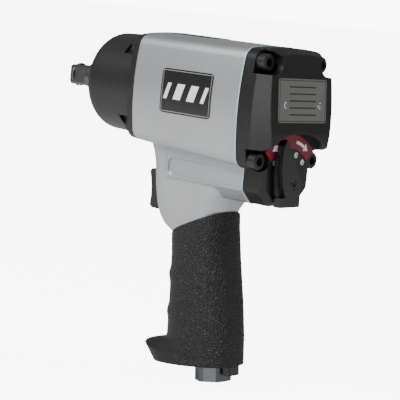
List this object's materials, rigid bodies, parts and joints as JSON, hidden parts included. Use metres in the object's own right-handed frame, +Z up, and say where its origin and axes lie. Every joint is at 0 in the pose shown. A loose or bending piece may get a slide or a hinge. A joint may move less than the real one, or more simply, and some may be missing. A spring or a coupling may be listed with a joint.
{
  "type": "pneumatic impact wrench",
  "caption": "Pistol-grip pneumatic impact wrench with a square drive, rubber-covered handle, trigger, direction lever on the rear cover and threaded air inlet.",
  "frame": {"origin": "centre of the square drive's end face, on the drive axis", "axes": "+X forward out of the square drive, +Y to the tool's left, +Z up, the handle hanging down in -Z"},
  "size_m": [0.193, 0.0662, 0.2099],
  "materials": {
    "cast_aluminium": "satin",
    "black_aluminium": "matte",
    "grip_rubber": "matte",
    "black_plastic": "satin",
    "forged_steel": "satin",
    "bright_steel": "polished",
    "black_screw_steel": "satin",
    "plated_steel": "satin",
    "cast_iron": "matte",
    "bronze": "satin",
    "vane_composite": "matte",
    "gasket_fibre": "matte",
    "seal_rubber": "matte",
    "felt": "matte",
    "nameplate_alloy": "satin",
    "red_label": "satin",
    "black_label": "gloss"
  },
  "bodies": {
    "housing_body": {"motor_housing": "cast_aluminium", "grip": "grip_rubber", "hammer_case": "black_aluminium", "hammer_case_gasket": "gasket_fibre", "hammer_case_screws": "black_screw_steel", "anvil_bushing": "bronze", "front_end_plate": "cast_iron", "cylinder_liner": "cast_iron", "cylinder_dowel": "forged_steel", "rear_end_plate": "cast_iron", "front_bearing_outer_race": "bright_steel", "front_bearing_balls": "bright_steel", "rear_bearing_outer_race": "bright_steel", "rear_bearing_balls": "bright_steel", "rear_gasket": "gasket_fibre", "rear_cover": "black_aluminium", "rear_cover_screws": "black_screw_steel", "nameplate": "nameplate_alloy", "nameplate_rivets": "bright_steel", "direction_label": "red_label", "reverse_valve_bushing": "bronze", "trigger_bushing": "bronze", "trigger_spring": "bright_steel", "throttle_seat": "seal_rubber", "throttle_spring": "bright_steel", "inlet_bushing": "plated_steel", "inlet_oring": "seal_rubber", "inlet_screen": "bright_steel", "exhaust_deflector": "black_plastic", "exhaust_muffler": "felt", "side_labels": "black_label", "top_label": "black_label"},
    "rotor_body": {"rotor": "forged_steel", "rotor_vanes": "vane_composite", "front_bearing_inner_race": "bright_steel", "rear_bearing_inner_race": "bright_steel", "hammer_cage": "forged_steel", "hammer_pins": "forged_steel"},
    "front_hammer_body": {"front_hammer": "forged_steel"},
    "rear_hammer_body": {"rear_hammer": "forged_steel"},
    "anvil_body": {"anvil": "forged_steel", "friction_ring": "bright_steel"},
    "lever_body": {"direction_lever": "black_plastic", "lever_screw": "black_screw_steel", "reverse_valve": "forged_steel", "detent_ball": "bright_steel", "detent_spring": "bright_steel"},
    "trigger_body": {"trigger": "black_plastic", "trigger_rod": "forged_steel"},
    "throttle_body": {"throttle_valve": "forged_steel"}
  },
  "joints": [
    {"name": "rotor_spin", "type": "hinge", "parent": "housing_body", "child": "rotor_body", "pos_m": [-0.125, 0, 0], "axis": [1, 0, 0], "continuous": true},
    {"name": "anvil_spin", "type": "hinge", "parent": "housing_body", "child": "anvil_body", "pos_m": [-0.04, 0, 0], "axis": [1, 0, 0], "continuous": true},
    {"name": "front_hammer_swing", "type": "hinge", "parent": "rotor_body", "child": "front_hammer_body", "pos_m": [-0.0625, 0.0205, 0], "axis": [1, 0, 0], "range_deg": [-6, 6]},
    {"name": "rear_hammer_swing", "type": "hinge", "parent": "rotor_body", "child": "rear_hammer_body", "pos_m": [-0.0743, -0.0205, 0], "axis": [1, 0, 0], "range_deg": [-6, 6]},
    {"name": "lever_turn", "type": "hinge", "parent": "housing_body", "child": "lever_body", "pos_m": [-0.187, 0, -0.0458], "axis": [1, 0, 0], "range_deg": [-25, 67]},
    {"name": "trigger_slide", "type": "slide", "parent": "housing_body", "child": "trigger_body", "axis": [-1, 0, 0], "range_m": [0, 0.004], "stiffness_N_per_m": 1500, "springref_m": -0.002, "deforming": ["trigger_spring"]},
    {"name": "throttle_tilt", "type": "hinge", "parent": "housing_body", "child": "throttle_body", "pos_m": [-0.12952, 0, -0.10255], "axis": [0, -1, 0], "range_deg": [0, 6.5], "deforming": ["throttle_spring"]}
  ],
  "couplings": [
    {"joint": "anvil_spin", "follows": "rotor_spin", "ratio": 1},
    {"joint": "throttle_tilt", "follows": "trigger_slide", "rad_per_m": 25.94}
  ]
}
